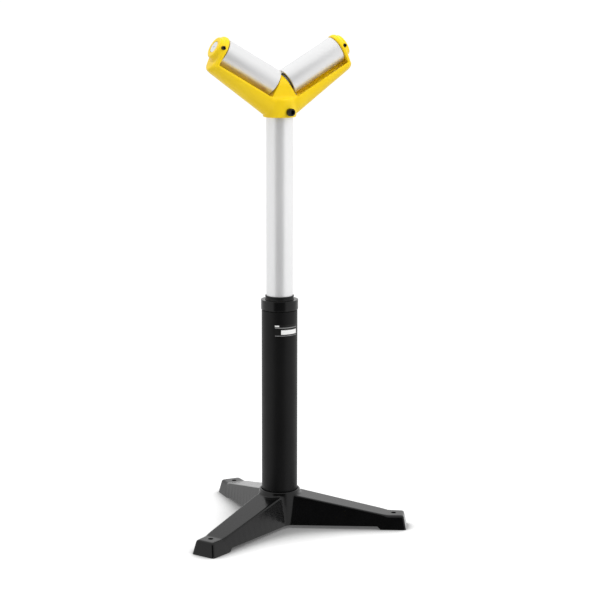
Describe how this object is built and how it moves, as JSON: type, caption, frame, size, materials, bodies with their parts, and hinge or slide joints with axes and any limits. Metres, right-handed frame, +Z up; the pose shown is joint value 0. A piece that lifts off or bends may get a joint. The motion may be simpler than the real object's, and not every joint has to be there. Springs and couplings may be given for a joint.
{
  "type": "roller stand",
  "caption": "Floor stand with a cast tripod base, a telescopic swivelling column held by a hand screw, and a V head whose ball-bearing rollers carry pipe or bar.",
  "frame": {"origin": "middle of the footprint on the floor; the column's axis stands 56.4 mm in front of it, at x = 0", "axes": "+Z up along the column; the V opens in a plane along X; -Y is the front, with the clamp screw; one leg points to +Y, the others to the right front and left front"},
  "size_m": [0.4994, 0.4336, 1.0464],
  "materials": {
    "black_iron": "cast iron under semi-gloss black paint",
    "black_paint": "glossy black paint",
    "black_plastic": "matte black moulding",
    "black_steel": "blackened screw steel",
    "bright_steel": "bright plated steel",
    "satin_steel": "turned steel, satin",
    "yellow_paint": "yellow powder coat",
    "brass": "plain brass"
  },
  "bodies": {
    "base": {"base_casting": "black_iron", "outer_column": "black_paint", "column_set_screw_left": "black_steel", "column_set_screw_right": "black_steel", "column_collar": "black_paint", "guide_bush": "black_plastic"},
    "lock_tip": {"lock_pad": "brass"},
    "lock_screw": {"lock_stud": "bright_steel", "lock_knob": "black_plastic"},
    "slide_guide": {"lower_guide_ring": "black_plastic"},
    "mast": {"inner_column": "bright_steel", "retaining_ring": "black_steel", "stop_ring": "black_steel", "head_casting": "yellow_paint", "head_clamp_screw": "black_steel", "left_axle": "bright_steel", "left_axle_set_screw": "black_steel", "left_inner_spacer": "bright_steel", "left_inner_bearing_inner_race": "bright_steel", "left_outer_spacer": "bright_steel", "left_outer_bearing_inner_race": "bright_steel", "right_axle": "bright_steel", "right_axle_set_screw": "black_steel", "right_inner_spacer": "bright_steel", "right_inner_bearing_inner_race": "bright_steel", "right_outer_spacer": "bright_steel", "right_outer_bearing_inner_race": "bright_steel"},
    "left_roller_body": {"left_roller": "satin_steel", "left_inner_bearing_outer_race": "bright_steel", "left_inner_bearing_ball_cage": "bright_steel", "left_inner_bearing_shield": "black_plastic", "left_outer_bearing_outer_race": "bright_steel", "left_outer_bearing_ball_cage": "bright_steel", "left_outer_bearing_shield": "black_plastic"},
    "right_roller_body": {"right_roller": "satin_steel", "right_inner_bearing_outer_race": "bright_steel", "right_inner_bearing_ball_cage": "bright_steel", "right_inner_bearing_shield": "black_plastic", "right_outer_bearing_outer_race": "bright_steel", "right_outer_bearing_ball_cage": "bright_steel", "right_outer_bearing_shield": "black_plastic"}
  },
  "joints": [
    {"name": "height_slide", "type": "slide", "parent": "base", "child": "slide_guide", "axis": [0, 0, 1], "range_m": [-0.375, 0.03]},
    {"name": "column_swivel", "type": "hinge", "parent": "slide_guide", "child": "mast", "pos_m": [0, -0.05638, 0.4111], "axis": [0, 0, 1], "continuous": true},
    {"name": "left_roller_spin", "type": "hinge", "parent": "mast", "child": "left_roller_body", "pos_m": [0, -0.05638, 0.9409], "axis": [-0.866, 0, 0.5], "continuous": true},
    {"name": "right_roller_spin", "type": "hinge", "parent": "mast", "child": "right_roller_body", "pos_m": [0, -0.05638, 0.9409], "axis": [0.866, 0, 0.5], "continuous": true},
    {"name": "lock_screw_travel", "type": "slide", "parent": "base", "child": "lock_tip", "axis": [0.4226, 0.9063, 0], "range_m": [0, 0.0023]},
    {"name": "lock_knob_turn", "type": "hinge", "parent": "lock_tip", "child": "lock_screw", "pos_m": [0, -0.05638, 0.4823], "axis": [0.4226, 0.9063, 0], "range_deg": [0, 540]}
  ],
  "couplings": [
    {"joint": "lock_screw_travel", "follows": "lock_knob_turn", "m_per_rad": 0.00023873}
  ]
}
